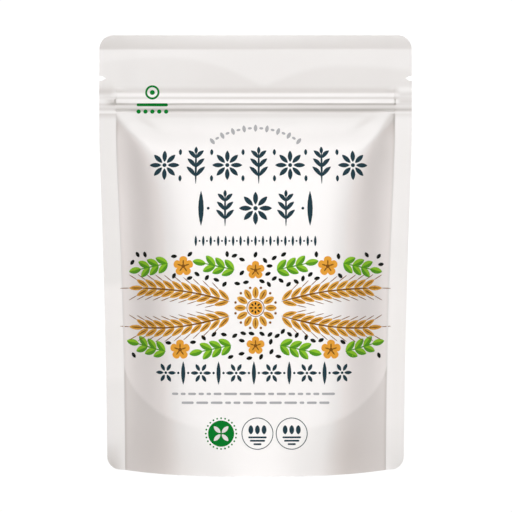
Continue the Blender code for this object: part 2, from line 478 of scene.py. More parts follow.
# The side seals' empty-film tone, with painted shade at their foot and below the zip, and paler
# stretches
def sealToneAndShade(x, z, inward, half):
    tone = 0.5 + half["sealFoot"] * max(0.0, 1 - z / 18) * eased(-inward, -2, 9)
    for side, foot, top, soft, change in sealStretches:
        if side * x > 0:
            tone += change * between(z, (foot - soft, foot + soft), (top - soft, top + soft))
    return tone + half["sealTop"] * (1 - eased(pouchShape["zipFoot"] - z, 2.2, 6.5))


def filmToneAndShade(x, z):
    # The film's tone: 1 where the filling or the zip is behind the film, a half on empty film, 0 in
    # a crease;
    # painted shade darkens recesses, seams, shoulders and the base, and painted highlights whiten
    # lit patches
    inward = sealLine(z) - abs(x)
    if z > headerShades["foot"]:
        return headerToneAndShade(x, z, inward)
    half = leftShades if x < 0 else rightShades
    body = bodyToneAndShade(x, z, inward, half)
    seal = sealToneAndShade(x, z, inward, half)
    return body + (seal - body) * (1 - eased(inward, 0, 0.6))


def filmTurn(x, z):
    # 1 where the filled film turns away from the front, 0 on the flat; a painted warm shade follows
    # it
    off = min(abs(x), sealLine(z)) - 1
    slope = (bodyDepth(off - 1, z) - bodyDepth(off + 1, z)) / 2
    return eased(slope, 0.12, 0.5) * eased(sealLine(z) - abs(x), 0, 1)


# Where the film's mesh has its rows and columns

filmMesh = {
    "sealColumns": 12,
    "columnSpans": ((4, 0.5), (46, 1.2), (88.6, 1.9)),
    "rowSpans": (
        (1.5, 0.3), (10, 0.95), (75, 1.2), (195, 1.6), (227.8, 0.95), (233.4, 0.4),
        (234.8, 0.2), (236.4, 0.4), (238.8, 0.25), (241.8, 0.4), (243.8, 0.35), (248.9, 0.7),
        (252.1, 0.4), (267.2, 1.3), (270.8, 0.4), (276, 0.75), (277.7, 0.35), (278, 0.1),
    ),
    "notchRows": (248.88, 252.12),
    "thickness": 0.25,
}


def filmColumns():
    # (side, share of the way across the body, share of the way over the seal)
    reach = filmMesh["columnSpans"][-1][0]
    count = filmMesh["sealColumns"]
    onSeal = [(1.0, (1 - i / count) ** 1.5) for i in range(count)]  # closer towards the seam
    half = onSeal + [(1 - off / reach, 0.0) for off in stopsAlong(0.0, filmMesh["columnSpans"])]
    left = [(-1, across, over) for across, over in half]
    right = [(1, across, over) for across, over in reversed(half[:-1])]
    return left + right


def filmRows():
    rows = stopsAlong(0.0, filmMesh["rowSpans"]) + list(filmMesh["notchRows"])
    return sorted({round(row, 4) for row in rows})


def filmPanel(name, facing, seed):
    # facing is -1 for the front and 1 for the back
    columns, rows = filmColumns(), filmRows()
    panel = startGrid(name, len(columns) - 1, len(rows) - 1)
    # Each vertex keeps the film's tone, with its painted shade and highlight, and how far it turns
    # away
    toneAndShade = panel.data.attributes.new("toneAndShade", "FLOAT", "POINT")
    turned = panel.data.attributes.new("turned", "FLOAT", "POINT")
    for vert in panel.data.vertices:
        side, across, over = columns[round((vert.co.x + 1) / 2 * (len(columns) - 1))]
        z = rows[round((vert.co.y + 1) / 2 * (len(rows) - 1))]
        seam = sealLine(z)
        x = side * (seam * across + over * (halfWidth(z) - edgeCut(z) - seam))
        vert.co = Vector((x, middlePlane(x, z) + facing * filmDepth(x, z, seed), z)) * mm
        toneAndShade.data[vert.index].value = filmToneAndShade(x, z)
        turned.data[vert.index].value = filmTurn(x, z)
    if facing > 0:
        flipFaces()
    thicken(panel, filmMesh["thickness"])
    return panel


# The base film, folded up between the two skirts

gussetShape = {
    "reach": 81,
    "columns": 90,
    "rows": 36,
    "grooveShare": 0.6,  # of the arc's height
    "belly": 3,
    "bellyPower": 2.2,
    "gap": 0.3,
}


def gussetFilm():
    gusset = startGrid("gusset_film", gussetShape["columns"], gussetShape["rows"])
    for vert in gusset.data.vertices:
        x = gussetShape["reach"] * math.sin(math.pi / 2 * vert.co.x)
        across = min(1.0, abs(x) / sealLine(0))
        groove = gussetShape["grooveShare"] * arcHeight(across)
        wall = max(0.15, filmDepth(x, groove) - filmMesh["thickness"] - gussetShape["gap"])
        rise = (x / gussetShape["reach"]) ** 2
        belly = gussetShape["belly"] + (0.92 * groove - gussetShape["belly"]) * rise
        share = math.sin(math.pi / 2 * vert.co.y)
        z = belly + (groove - belly) * abs(share) ** gussetShape["bellyPower"]
        vert.co = Vector((x, wall * share, z)) * mm
    flipFaces()
    thicken(gusset, filmMesh["thickness"])
    return gusset


# Printed shapes: drawn flat, cut into small faces, then pressed onto the film

inkSheet = {
    "thickness": 0.13,
    "lift": 0.06,  # how proud of the film the first layer stands
    "layer": 0.025,  # each later layer stands this much higher
    "flatHalf": 36,  # the panel is nearly flat within this of its middle
}


def openInk(name):
    # An empty mesh in edit mode, which the shapes below are drawn in until it is pressed
    deselectAll()
    bpy.ops.mesh.primitive_circle_add(vertices=3, radius=mm)
    startPiece(name)
    bpy.ops.object.mode_set(mode="EDIT")
    bpy.ops.mesh.select_all(action="SELECT")
    bpy.ops.mesh.delete(type="VERT")


def drawPatch(x, z, length, width, turn=0.0, corners=16, **form):
    # A disc stretched to an oval. Its form may have pointed ends, a bend, straight sides, a
    # narrower front (drop) or only its upper half.
    bpy.ops.mesh.primitive_circle_add(vertices=corners, radius=1.0, fill_type="TRIFAN")
    shape = bmesh.from_edit_mesh(bpy.context.object.data)
    cosine, sine = math.cos(math.radians(turn)), math.sin(math.radians(turn))
    for vert in [vert for vert in shape.verts if vert.select]:
        onEdge = math.hypot(vert.co.x, vert.co.y) > 0.5
        along, across = (vert.co.x, vert.co.y) if onEdge else (0.0, 0.0)
        across *= abs(across) ** form.get("point", 0.0) * (1 - form.get("drop", 0.0) * along)
        if form.get("half"):
            across = max(0.0, across) if onEdge else 0.4
        sideways = width / 2 * across + form.get("bend", 0.0) * along * along
        forward = length / 2 * along
        if onEdge:
            forward += math.copysign(form.get("straight", 0.0) / 2, along)
        vert.co.x = (x + forward * cosine - sideways * sine) * mm
        vert.co.y = (z + forward * sine + sideways * cosine) * mm


def drawBar(x, z, length, height):
    # A bar with round ends
    drawPatch(x, z, height, height, straight=length - height)


def drawRing(x, z, outer, inner):
    middle = (x * mm, z * mm, 0)
    bpy.ops.mesh.select_all(action="DESELECT")
    bpy.ops.mesh.primitive_circle_add(vertices=56, radius=outer * mm, location=middle)
    bpy.ops.mesh.extrude_edges_indiv()
    bpy.ops.transform.resize(value=(inner / outer,) * 3, center_override=middle)


def cutAcross(direction, low, high, step):
    count = max(1, math.ceil((high - low) / step))
    for i in range(1, count):
        place = Vector(direction) * (low + (high - low) * i / count)
        bpy.ops.mesh.select_all(action="SELECT")
        bpy.ops.mesh.bisect(plane_co=place, plane_no=direction)


def pressInk(color, layer=0, facing=-1, seed=0.0, step=(1.9, 2.4)):
    # The flat drawing's x and y become x and z on the film; the back is drawn as seen from behind
    ink = bpy.context.object
    bpy.ops.mesh.select_all(action="SELECT")
    bpy.ops.mesh.quads_convert_to_tris()
    shape = bmesh.from_edit_mesh(ink.data)
    xs = [vert.co.x for vert in shape.verts]
    zs = [vert.co.y for vert in shape.verts]
    flat = inkSheet["flatHalf"] * mm
    for low, high, wide in ((min(xs), -flat, 1), (-flat, flat, 2.5), (flat, max(xs), 1)):
        low, high = max(low, min(xs)), min(high, max(xs))
        if high > low:
            cutAcross((1, 0, 0), low - 0.01 * mm, high + 0.01 * mm, step[0] * wide * mm)
    cutAcross((0, 1, 0), min(zs), max(zs), step[1] * mm)
    bpy.ops.object.mode_set(mode="OBJECT")
    lift = inkSheet["lift"] + layer * inkSheet["layer"]
    for vert in ink.data.vertices:
        x, z = -facing * vert.co.x / mm, vert.co.y / mm
        depth = filmDepth(x, z, seed) + lift
        vert.co = Vector((x, middlePlane(x, z) + facing * depth, z)) * mm
    thicken(ink, inkSheet["thickness"])
    ink.data.materials.append(inks[color])
    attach(ink, "root")
    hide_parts("pouch")
    print("ink", ink.name, len(ink.data.polygons), "faces")


# Materials

def feed(tree, values, sockets):
    # Each value is a fixed one or another node's socket
    for value, socket in zip(values, sockets):
        if isinstance(value, bpy.types.NodeSocket):
            tree.links.new(value, socket)
        else:
            socket.default_value = value


def feedNode(tree, node, **inputs):
    # By the inputs' names, with _ in place of a space
    feed(tree, inputs.values(), [node.inputs[name.replace("_", " ")] for name in inputs])


def addNode(tree, kind, x, y, **inputs):
    node = tree.nodes.new("ShaderNode" + kind)
    node.location = (x, y)
    feedNode(tree, node, **inputs)
    return node


def makeFilmGrain():
    # Fine calendered grain and broad, faint patches
    group = bpy.data.node_groups.new("filmGrain", "ShaderNodeTree")
    for name, side, kind in (
        ("Place", "INPUT", "NodeSocketVector"),
        ("Grain Scale", "INPUT", "NodeSocketFloat"),
        ("Patch Scale", "INPUT", "NodeSocketFloat"),
        ("Grain", "OUTPUT", "NodeSocketFloat"),
        ("Patches", "OUTPUT", "NodeSocketFloat"),
    ):
        group.interface.new_socket(name, in_out=side, socket_type=kind)
    start = group.nodes.new("NodeGroupInput").outputs
    end = group.nodes.new("NodeGroupOutput")
    fine = addNode(group, "TexNoise", -300, 100, Detail=3.0, Roughness=0.6)
    broad = addNode(group, "TexNoise", -300, -200, Detail=2.0, Roughness=0.45)
    for texture, scale in ((fine, "Grain Scale"), (broad, "Patch Scale")):
        feedNode(group, texture, Vector=start["Place"], Scale=start[scale])
    feedNode(group, end, Grain=fine.outputs["Fac"], Patches=broad.outputs["Fac"])
    return group


def newSurface(name, finish):
    # (material, its node tree, its surface node, the outputs of the film's grain)
    material = bpy.data.materials.new(name)
    material.use_nodes = True
    tree = material.node_tree
    place = addNode(tree, "TexCoord", -1100, 0)
    grain = addNode(tree, "Group", -850, 0)
    grain.node_tree = filmGrain
    scales = {"Grain_Scale": finish["grainScale"], "Patch_Scale": finish["patchScale"]}
    feedNode(tree, grain, Place=place.outputs["Object"], **scales)
    return material, tree, tree.nodes["Principled BSDF"], grain.outputs


def remap(tree, source, low, high, x, y):
    node = addNode(tree, "MapRange", x, y, Value=source, To_Min=low, To_Max=high)
    return node.outputs["Result"]


def timesPlus(tree, value, factor, more, x, y):
    node = addNode(tree, "Math", x, y)
    node.operation = "MULTIPLY_ADD"
    feed(tree, (value, factor, more), node.inputs)
    return node.outputs["Value"]


def mixColors(tree, factor, first, second, x, y):
    node = addNode(tree, "Mix", x, y)
    node.data_type = "RGBA"
    feed(tree, (factor, first, second), (node.inputs["Factor"], node.inputs[6], node.inputs[7]))
    return node.outputs[2]


def fineBump(tree, grain):
    node = addNode(tree, "Bump", -300, -350, Strength=0.06, Distance=0.05 * mm, Height=grain)
    return node.outputs["Normal"]


def readAttribute(tree, name, y):
    node = addNode(tree, "Attribute", -1100, y)
    node.attribute_name = name
    return node.outputs["Fac"]


def addRamp(tree, share, colors, y):
    # Its stops stand at even places from the first color to the last one
    node = addNode(tree, "ValToRGB", -600, y, Fac=share)
    stops = node.color_ramp.elements
    while len(stops) < len(colors):
        stops.new(0.5)
    for i, color in enumerate(colors):
        stops[i].position = i / (len(colors) - 1)
        stops[i].color = color
    return node.outputs["Color"]


filmFinish = {
    # tone, darkened by painted shade and whitened by painted highlight: (color, roughness)
    -0.5: ((0.46, 0.44, 0.418, 1.0), 0.5),
    0.0: ((0.71, 0.688, 0.667, 1.0), 0.5),
    0.5: ((0.87, 0.863, 0.850, 1.0), 0.42),
    1.0: ((0.94, 0.929, 0.918, 1.0), 0.30),
    1.5: ((0.98, 0.970, 0.960, 1.0), 0.36),
}
filmGloss = {
    "patchTint": (0.975, 0.973, 0.972, 1.0),
    "turnShadeTint": (1.0, 0.968, 0.957, 1.0),  # a painted warm shade where the film turns away from the front
    "roughnessRange": 0.03,
    "ior": 1.58,
    "grainScale": 2600.0,
    "patchScale": 38.0,
}


def makeFilmMaterial():
    material, tree, surface, grain = newSurface("satinWhiteFilm", filmGloss)
    stops = sorted(filmFinish)
    # The tone, with its painted shade and highlight, picks the film's color and roughness
    share = remap(tree, readAttribute(tree, "toneAndShade", -300), 0.0, 1.0, -850, -300)
    feedNode(tree, share.node, From_Min=stops[0], From_Max=stops[-1])
    color = addRamp(tree, share, [filmFinish[stop][0] for stop in stops], 300)
    turned = readAttribute(tree, "turned", 300)
    # The broad patches tint the film at random, and a painted warm shade darkens it where it turns
    # away
    for factor, tint, x in (
        (grain["Patches"], filmGloss["patchTint"], -400),
        (turned, filmGloss["turnShadeTint"], -200),
    ):
        tinted = mixColors(tree, factor, (1, 1, 1, 1), tint, x, 500)
        color = mixColors(tree, 1.0, color, tinted, x, 250)
        color.node.blend_type = "MULTIPLY"
    smooth = addRamp(tree, share, [(filmFinish[stop][1],) * 3 + (1.0,) for stop in stops], -300)
    uneven = filmGloss["roughnessRange"]
    rough = remap(tree, grain["Grain"], -uneven, uneven, -500, -50)
    feedNode(
        tree, surface, Base_Color=color,
        Roughness=timesPlus(tree, rough, 1.0, smooth, -300, -100),
        Normal=fineBump(tree, grain["Grain"]), IOR=filmGloss["ior"], Specular_IOR_Level=1.0,
    )
    return material


inkColors = {
    # name: (color, second tone, roughness)
    "tealInk": ((0.018, 0.044, 0.058), (0.023, 0.053, 0.069), 0.55),
    "greyInk": ((0.20, 0.205, 0.22), (0.23, 0.235, 0.25), 0.50),
    "paleGreyInk": ((0.435, 0.44, 0.455), (0.46, 0.465, 0.48), 0.50),
    "greenInk": ((0.001, 0.188, 0.021), (0.003, 0.215, 0.028), 0.48),
    "leafInk": ((0.25, 0.54, 0.022), (0.30, 0.60, 0.040), 0.48),
    "deepLeafInk": ((0.088, 0.31, 0.016), (0.115, 0.37, 0.024), 0.48),
    "goldInk": ((0.96, 0.58, 0.105), (0.50, 0.165, 0.008), 0.48),
    "brownInk": ((0.20, 0.075, 0.010), (0.27, 0.105, 0.016), 0.50),
    "orangeInk": ((0.88, 0.43, 0.055), (0.80, 0.34, 0.035), 0.46),
    "seedInk": ((0.006, 0.008, 0.006), (0.013, 0.015, 0.012), 0.50),
    "whiteInk": ((0.84, 0.83, 0.815), (0.80, 0.79, 0.775), 0.45),
}
inkFinish = {"specular": 0.04, "patchScale": 420.0, "grainScale": 2600.0}


def makeInk(name):
    color, tone, roughness = inkColors[name]
    material, tree, surface, grain = newSurface(name, inkFinish)
    feedNode(
        tree, surface,
        Base_Color=mixColors(tree, grain["Patches"], (*color, 1), (*tone, 1), -500, 200),
        Roughness=remap(tree, grain["Grain"], roughness - 0.05, roughness + 0.05, -500, -50),
        Normal=fineBump(tree, grain["Grain"]), Specular_IOR_Level=inkFinish["specular"],
    )
    return material


# Camera, floor and light

cameraPlace = {"distance": 1030 * mm, "height": 136.8 * mm, "sideways": 0.3 * mm, "lens": 113.15}
# Each light's (place, size, power, height aimed at, whether it shows in gloss)
softLights = {
    "keyLight": ((0.12, -2.0, 0.75), (1.6, 1.2), 18.1, 0.13, False),
    "sheenLight": ((0.03, -1.55, 0.83), (0.40, 1.9), 6.3, 0.5, True),
    "backSheenLight": ((-0.03, 1.55, 0.83), (0.40, 1.9), 6.3, 0.5, True),
    "topLight": ((0.0, -0.5, 1.5), (1.2, 0.8), 5.6, 0.13, True),
    "backLight": ((0.0, 2.0, 0.75), (1.6, 1.2), 17.0, 0.13, False),
}
# The room and the floor, which the camera sees plain white
studioRoom = {
    "color": (1.0, 0.82, 0.79, 1),
    "light": 0.125,
    "seenLight": 1.05,
    "floorTones": ((0.82, 0.82, 0.82, 1), (0.80, 0.80, 0.80, 1)),
    "grainScale": 300.0,
    "patchScale": 2.0,
    "floorGlow": 1.03,
    "stripEdges": (0.02, 0.10),  # a painted glow along the middle, which only gloss shows
    "stripGlows": (1.9, 0.4),
}


def addCamera():
    bpy.ops.object.camera_add(
        location=(cameraPlace["sideways"], -cameraPlace["distance"], cameraPlace["height"]),
        rotation=(math.radians(90), 0, 0),
    )
    camera = bpy.context.object
    camera.name = "photoCamera"
    camera.data.lens = cameraPlace["lens"]
    camera.data.clip_start = 0.02
    bpy.context.scene.camera = camera


def addSoftLight(name, place, size, power, aim, glossy):
    bpy.ops.object.light_add(type="AREA", location=place)
    light = bpy.context.object
    light.name = name
    light.data.shape = "RECTANGLE"
    light.data.size, light.data.size_y = size
    light.data.energy = power
    light.visible_camera = False
    light.visible_glossy = glossy
    towards = Vector((0, 0, aim)) - Vector(place)
    light.rotation_euler = towards.to_track_quat("-Z", "Y").to_euler()


def makeFloorMaterial():
    # A pale floor that the camera sees plain white and that bounces light back up
    material, tree, surface, grain = newSurface("paleFloor", studioRoom)
    color = mixColors(tree, grain["Patches"], *studioRoom["floorTones"], -500, 200)
    seen = addNode(tree, "LightPath", -700, -200).outputs
    shown = mixColors(tree, seen["Is Camera Ray"], color, (0, 0, 0, 1), -300, 200)
    glow = remap(tree, seen["Is Camera Ray"], 0.0, studioRoom["floorGlow"], -300, -200)
    # A painted glow along the floor's middle, which only glossy rays see, for the pouch's lower
    # middle to reflect
    place = addNode(tree, "TexCoord", -1100, -700)
    apart = addNode(tree, "SeparateXYZ", -900, -700, Vector=place.outputs["Object"])
    aside = addNode(tree, "Math", -700, -700)
    aside.operation = "ABSOLUTE"
    feed(tree, [apart.outputs["X"]], aside.inputs)
    strip = addNode(tree, "MapRange", -500, -700, Value=aside.outputs["Value"])
    feed(tree, studioRoom["stripEdges"] + studioRoom["stripGlows"], strip.inputs[1:5])
    glow = timesPlus(tree, seen["Is Glossy Ray"], strip.outputs["Result"], glow, -100, -200)
    feedNode(
        tree, surface, Base_Color=shown, Roughness=0.9, Specular_IOR_Level=0.0,
        Emission_Strength=glow, Emission_Color=(1, 1, 1, 1),
    )
    return material


def addStudio():
    deselectAll()
    bpy.ops.mesh.primitive_circle_add(vertices=96, radius=6.0, fill_type="NGON")
    floor = startPiece("studio_floor")
    floor.data.materials.append(makeFloorMaterial())
    world = bpy.data.worlds.new("studioWorld")
    bpy.context.scene.world = world
    world.use_nodes = True
    tree = world.node_tree
    toCamera = addNode(tree, "LightPath", -400, 0).outputs["Is Camera Ray"]
    color = mixColors(tree, toCamera, studioRoom["color"], (1, 1, 1, 1), -200, 200)
    shade = remap(tree, toCamera, studioRoom["light"], studioRoom["seenLight"], -200, 0)
    feedNode(tree, tree.nodes["Background"], Color=color, Strength=shade)
    for name, settings in softLights.items():
        addSoftLight(name, *settings)
    bpy.context.scene.view_settings.view_transform = "Standard"
    bpy.context.scene.view_settings.look = "None"


addCamera()
filmGrain = makeFilmGrain()
addStudio()
print("studio ready")

filmMaterial = makeFilmMaterial()
films = (filmPanel("front_film", -1, 0.0), filmPanel("back_film", 1, 7.7), gussetFilm())
for film in films:
    film.data.materials.append(filmMaterial)
    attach(film, "root")
    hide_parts("pouch")
    print("film", film.name, len(film.data.polygons), "faces")

inks = {name: makeInk(name) for name in inkColors}


# Ornaments for the two large rows and the small one

ornament = {
    "first": (193.8, 24, 19.7, 2),  # (height, size, pitch, x of the middle)
    "secondRow": 166.6,
    "secondSprig": (19, 23),  # (x, size)
    "secondRosette": 21,
    "secondDot": (29.5, 1.8),
    "secondLozenge": (34, 22, 3.4),  # (x, length, width)
    "lineRow": 146.2,
    "lineHalf": 8,  # lozenges on each side of the middle one
    "linePitch": 4.65,
    "lineLozenge": (6.6, 1.6),
    "lineDot": 1.2,
    "thirdRow": 64.0,
    "thirdMiddle": -1,
    "thirdPitch": 11.0,
    "thirdRosette": 13,
    "thirdLozenge": (14.5, 2.6),
    "thirdDot": (3.1, 1.5),
}


def placeAt(x, z, out, turn):
    # The place that lies so far out from x, z in the direction of turn
    return x + out * math.cos(math.radians(turn)), z + out * math.sin(math.radians(turn))


def drawPetals(x, z, count, away, length, width, turn=0.0, **form):
    for i in range(count):
        angle = 360 * i / count + turn
        drawPatch(*placeAt(x, z, away, angle), length, width, angle, **form)


def drawRosette(x, z, size, petals=8, petalWidth=0.15):
    # Petals round a dot; size is the whole rosette's width
    drawPetals(x, z, petals, size * 0.3, size * 0.38, size * petalWidth, point=0.7)
    drawPatch(x, z, size * 0.13, size * 0.13)


def drawLozenge(x, z, length, width, point):
    # Upright; the greater the point, the sharper its ends
    drawPatch(x, z, length, width, 90, point=point)


def drawSprig(x, z, height):
    # An upright stem with three pairs of leaves and a bud
    drawLozenge(x, z - 0.05 * height, 0.9 * height, 0.055 * height, 0.3)
    for i in range(3):
        foot = z + height * (-0.28 + 0.24 * i)
        long = height * (0.34 - 0.03 * i)
        for side in (-1, 1):
            lean = 90 - side * 42
            leaf = placeAt(x, foot, long / 2, lean)
            bend = -side * 0.02 * height
            drawPatch(*leaf, long, 0.11 * height, lean, point=0.75, bend=bend)
    drawLozenge(x, z + 0.40 * height, 0.2 * height, 0.09 * height, 0.6)


def drawDot(x, z, width):
    drawPatch(x, z, width, width, corners=12)


def drawFirstRow(z, height, pitch, middle):
    # Sprigs and rosettes by turns, with small lozenges between them
    for i in range(-3, 4):
        x = middle + i * pitch
        if i % 2:
            drawRosette(x, z, 0.8 * height)
        else:
            drawSprig(x, z, height)
        if i < 3:
            for rise in (-0.35, 0.35):
                drawLozenge(x + pitch / 2, z + rise * height, height / 6, height / 12, 0.5)


def pressOrnamentRows():
    openInk("ornament_rows")
    drawFirstRow(*ornament["first"])
    z = ornament["secondRow"]
    drawRosette(0, z, ornament["secondRosette"])
    for side in (-1, 1):
        x, size = ornament["secondSprig"]
        drawSprig(side * x, z, size)
        x, size = ornament["secondDot"]
        drawDot(side * x, z, size)
        x, length, width = ornament["secondLozenge"]
        drawLozenge(side * x, z, length, width, 0.9)
    z, half, pitch = ornament["lineRow"], ornament["lineHalf"], ornament["linePitch"]
    for i in range(-half, half + 1):
        drawLozenge(i * pitch, z, *ornament["lineLozenge"], 0.6)
        if i < half:
            drawDot((i + 0.5) * pitch, z, ornament["lineDot"])
    z = ornament["thirdRow"]
    for i in range(-5, 6):
        x = i * ornament["thirdPitch"] + ornament["thirdMiddle"]
        if i % 2:
            drawRosette(x, z, ornament["thirdRosette"], petals=6, petalWidth=0.17)
        else:
            drawLozenge(x, z, *ornament["thirdLozenge"], 0.8)
            off, size = ornament["thirdDot"]
            drawDot(x - off, z, size)
            drawDot(x + off, z, size)
    pressInk("tealInk")


greyArc = {
    "radius": 46.5,
    "middle": 171.8,
    "reach": 36.0,  # degrees to each side
    "count": 17,
    "dot": (2.6, 1.6),
    "lozenge": (4.8, 2.3),
}


def pressGreyArc():
    # Lozenges and dots by turns, along an arc
    openInk("arc_dots")
    last = greyArc["count"] - 1
    for i in range(greyArc["count"]):
        angle = greyArc["reach"] * (2 * i / last - 1)
        place = placeAt(0, greyArc["middle"], greyArc["radius"], 90 - angle)
        if i % 2:
            drawPatch(*place, *greyArc["dot"], -angle)
        else:
            drawPatch(*place, *greyArc["lozenge"], 90 - angle, point=0.45)
    pressInk("paleGreyInk")


pressOrnamentRows()
pressGreyArc()
print("ornament rows pressed")


# The middle band: a medallion between four grain ears, with sprays, blossoms and lozenges

medallion = (0.0, 104.5)
bandShape = {
    "ear": (15, 76),  # from this x to that one
    "kernels": 10,
    "kernel": (9.2, 3.1),  # (length, width), as below
    "kernelLean": 30,
    "awn": (6.5, 0.5),
    "spray": (23, 0.8),
    "leaf": (8.4, 4.2),
    "lozenge": (3.9, 2.3),
    "lozenges": 66,
    "lozengeApart": 4.4,
}
# Each ear's (height beside the medallion, height at its tip, how far it arches)
earRoutes = ((108.3, 116.5, 2.6), (99.7, 91.5, -2.6))
# Sprays and blossoms of the right half, mirrored on the left: (x, z, turn), (x, z, width)
sprayPlaces = (
    (24, 130.5, 12),
    (65.5, 130, -12),
    (26, 79, -12),
    (67, 79.5, 12),
)
blossomPlaces = (
    (45, 130.5, 12),
    (0, 128, 11),
    (47, 78.5, 12),
    (0, 81, 11),
)


def earPoint(route, share):
    # (x, z, slope in degrees) on the right half's ear
    inner, outer, arch = route
    start, end = bandShape["ear"]
    z = inner + (outer - inner) * share + 4 * arch * share * (1 - share)
    rise = outer - inner + 4 * arch * (1 - 2 * share)
    return start + (end - start) * share, z, math.degrees(math.atan2(rise, end - start))


def bothSides(places):
    # Every place (x, z, turn) and its mirror image on the left half
    for x, z, turn in places:
        yield x, z, turn
        yield -x, z, 180 - turn


def kernelPlaces():
    places = []
    for route in earRoutes:
        for i in range(bandShape["kernels"]):
            x, z, slope = earPoint(route, (i + 0.3) / (bandShape["kernels"] + 0.8))
            for side in (-1, 1):
                turn = slope + side * bandShape["kernelLean"]
                middle = placeAt(x, z, bandShape["kernel"][0] / 2, turn)
                places.append((*placeAt(*middle, 0.5, slope + 90 * side), turn))
        places.append(earPoint(route, 1.0))
    return bothSides(places)


def pressGoldKernels():
    openInk("gold_kernels")
    for x, z, turn in kernelPlaces():
        drawPatch(x, z, *bandShape["kernel"], turn, point=0.35, drop=0.12)
    drawPetals(*medallion, 12, 9.5, 7.4, 4.0, point=0.4)
    pressInk("goldInk")


def pressBrownMarks():
    # The kernels' creases and awns, the ears' stems and the medallion's lines
    openInk("brown_marks")
    kernel, awn = bandShape["kernel"], bandShape["awn"]
    for x, z, turn in kernelPlaces():
        drawPatch(x, z, 0.66 * kernel[0], 0.75, turn, point=0.3)
        middle = placeAt(x, z, (kernel[0] + awn[0]) / 2 - 0.4, turn)
        drawPatch(*middle, *awn, turn)
    start, end = bandShape["ear"]
    for inner, outer, arch in earRoutes:
        slope = math.degrees(math.atan2(outer - inner, end - start))
        stem = ((start + end) / 2, (inner + outer) / 2 + arch, slope)
        for x, z, turn in bothSides([stem]):
            drawPatch(x, z, end - start, 0.9, turn, bend=-arch if x > 0 else arch)
    drawPetals(*medallion, 12, 9.5, 4.6, 0.8, point=0.4)
    drawPetals(*medallion, 12, 12.9, 1.6, 1.6, turn=15)
    drawRing(*medallion, 5.6, 5.1)
    pressInk("brownInk", layer=1)


def leafPlaces():
    # Three pairs of leaves on every spray and one at its tip
    for x, z, turn in bothSides(sprayPlaces):
        for i in range(4):
            joint = placeAt(x, z, (0.26 * i - 0.47) * bandShape["spray"][0], turn)
            for lean in (turn - 36, turn + 36) if i < 3 else (turn,):
                yield (*placeAt(*joint, bandShape["leaf"][0] / 2, lean), lean)


def pressSprays():
    openInk("green_leaves")
    for x, z, turn in leafPlaces():
        drawPatch(x, z, *bandShape["leaf"], turn, point=0.5)
    pressInk("leafInk")
    openInk("leaf_shades")
    for x, z, turn in leafPlaces():
        flip = 180 if math.cos(math.radians(turn)) > 0 else 0
        drawPatch(x, z, *bandShape["leaf"], turn + flip, point=0.5, half=True)
    for x, z, turn in bothSides(sprayPlaces):
        drawPatch(x, z, *bandShape["spray"], turn)
    pressInk("deepLeafInk", layer=1)


def pressBlossoms():
    openInk("orange_blossoms")
    drawPatch(*medallion, 9, 9, corners=28)
    blossoms = sorted({(side * x, z, width) for x, z, width in blossomPlaces for side in (-1, 1)})
    for x, z, width in blossoms:
        drawPetals(x, z, 5, 0.29 * width, 0.46 * width, 0.40 * width, turn=90, drop=-0.25)
    pressInk("orangeInk")
    openInk("blossom_hearts")
    for x, z, width in blossoms:
        drawPetals(x, z, 5, 0.2 * width, 0.24 * width, 0.07 * width, turn=90)
        drawDot(x, z, 0.2 * width)
    pressInk("brownInk", layer=1)


def isClear(x, z, others):
    # Whether a lozenge there is clear of the band's other motifs and of the others
    clear = math.dist((x, z), medallion) > 16
    for sprayX, sprayZ, turn in bothSides(sprayPlaces):
        cosine, sine = placeAt(0, 0, 1, turn)
        along = (x - sprayX) * cosine + (z - sprayZ) * sine
        across = (z - sprayZ) * cosine - (x - sprayX) * sine
        clear = clear and math.hypot(along / 16, across / 8.2) > 1
    for *place, width in blossomPlaces:
        clear = clear and math.dist((abs(x), z), place) > width / 2 + 2.2
    start, end = bandShape["ear"]
    share = (abs(x) - start) / (end - start)
    for route in earRoutes:
        if -0.1 < share < 1.2:
            clear = clear and abs(z - earPoint(route, share)[1]) > 8.5
    for other in others:
        clear = clear and math.dist((x, z), other[:2]) > bandShape["lozengeApart"]
    return clear


def lozengePlaces():
    # Scattered over the band
    chance = random.Random(11)
    places = []
    while len(places) < bandShape["lozenges"]:
        x = chance.uniform(-80, 80)
        z = chance.choice((chance.uniform(119, 138), chance.uniform(73, 90)))
        if isClear(x, z, places):
            places.append((x, z, chance.uniform(0, 360)))
    return places


def pressLozenges():
    openInk("dark_lozenges")
    for x, z, turn in lozengePlaces():
        drawPatch(x, z, *bandShape["lozenge"], turn, corners=14, point=0.4)
    drawPetals(*medallion, 8, 2.7, 2.0, 1.0, point=0.3)
    drawDot(*medallion, 1.3)
    pressInk("seedInk", layer=1)


pressGoldKernels()
pressBrownMarks()
pressSprays()
pressBlossoms()
pressLozenges()
print("middle band pressed")


# Two rows of dashes, three round badges and a small mark over the zip

dashRows = {
    "rows": ((51, 52), (45.5, 46)),  # (height, reach to each side)
    "dash": 1.5,
    "gap": 1.6,
}
badges = {
    "height": 26.4,
    "green": -21.4,
    "rings": (1.2, 22.5),
    "disc": 16.2,
    "beads": (24, 9.5, 1.1, 1.1),  # (count, how far out, length, width)
    "star": 13,
    "ring": (9.9, 9.4),
    "dropPitch": 4.1,
    "dropRise": 2.4,
    "drop": (5.6, 3.0),
    "bars": ((2.3, 11.5), (4.4, 9.5), (6.5, 5)),  # (down, length)
    "barHeight": 1.15,
}
smallMark = {
    "place": (-66, 236),
    "ringRise": 5.4,
    "ring": (4.6, 3.3),
    "dot": 3.2,
    "barDrop": 2.6,
    "bar": (20, 1.8),
    "lowDrop": 6.8,
    "lowPitch": 4.4,
    "lowDot": 2.8,
    "step": (1.9, 0.5),  # fine, for the zip's relief under it
}


